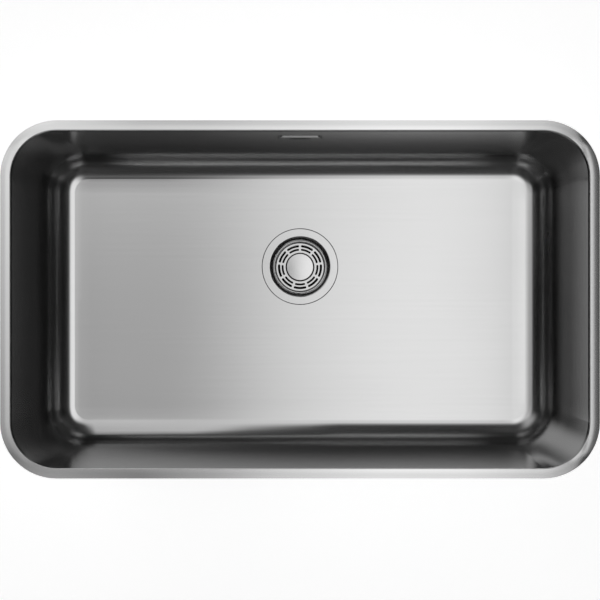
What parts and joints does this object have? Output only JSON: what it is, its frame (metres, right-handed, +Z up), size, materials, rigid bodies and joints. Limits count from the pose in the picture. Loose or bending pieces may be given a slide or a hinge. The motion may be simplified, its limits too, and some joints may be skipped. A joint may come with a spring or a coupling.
{
  "type": "kitchen sink",
  "caption": "Inset single-bowl kitchen sink of satin stainless steel, with narrow crowned rim, rounded corners, lift-out basket strainer with push plug, and a slot overflow at the back.",
  "frame": {"origin": "middle of the opening, on the worktop plane that the rim's seal lies on", "axes": "+X to the right along the long side, +Y to the back wall with the overflow, +Z up out of the bowl"},
  "size_m": [0.77, 0.4671, 0.3125],
  "materials": {
    "bowl_steel": "satin",
    "strainer_steel": "satin",
    "polished_steel": "polished",
    "screw_steel": "bright",
    "brass": "machined",
    "black_rubber": "matt",
    "foam_seal": "matt",
    "sound_pad": "matt",
    "waste_plastic": "moulded",
    "bush_plastic": "moulded"
  },
  "bodies": {
    "sink": {"bowl": "bowl_steel", "strainer_cup": "strainer_steel", "overflow_cover": "strainer_steel", "fixing_screw": "screw_steel", "overflow_screws": "screw_steel", "thread_insert": "brass", "flange_seal": "black_rubber", "body_gasket": "black_rubber", "overflow_gasket": "black_rubber", "pipe_top_seal": "black_rubber", "pipe_cone_seal": "black_rubber", "rim_seal": "foam_seal", "floor_pad": "sound_pad", "front_pad": "sound_pad", "left_pad": "sound_pad", "right_pad": "sound_pad", "back_left_pad": "sound_pad", "back_right_pad": "sound_pad", "waste_body": "waste_plastic", "overflow_head": "waste_plastic", "overflow_pipe": "waste_plastic", "pipe_nut": "waste_plastic"},
    "strainer_basket": {"basket": "strainer_steel", "stem_bush": "bush_plastic"},
    "stopper_plug": {"knob": "polished_steel", "stem": "polished_steel", "stopper": "bush_plastic", "stopper_seal": "black_rubber", "jam_nut": "polished_steel"}
  },
  "joints": [
    {"name": "basket_lift", "type": "slide", "parent": "sink", "child": "strainer_basket", "axis": [0, 0, 1], "range_m": [0, 0.27]},
    {"name": "stopper_lift", "type": "slide", "parent": "strainer_basket", "child": "stopper_plug", "axis": [0, 0, 1], "range_m": [0, 0.009]}
  ]
}
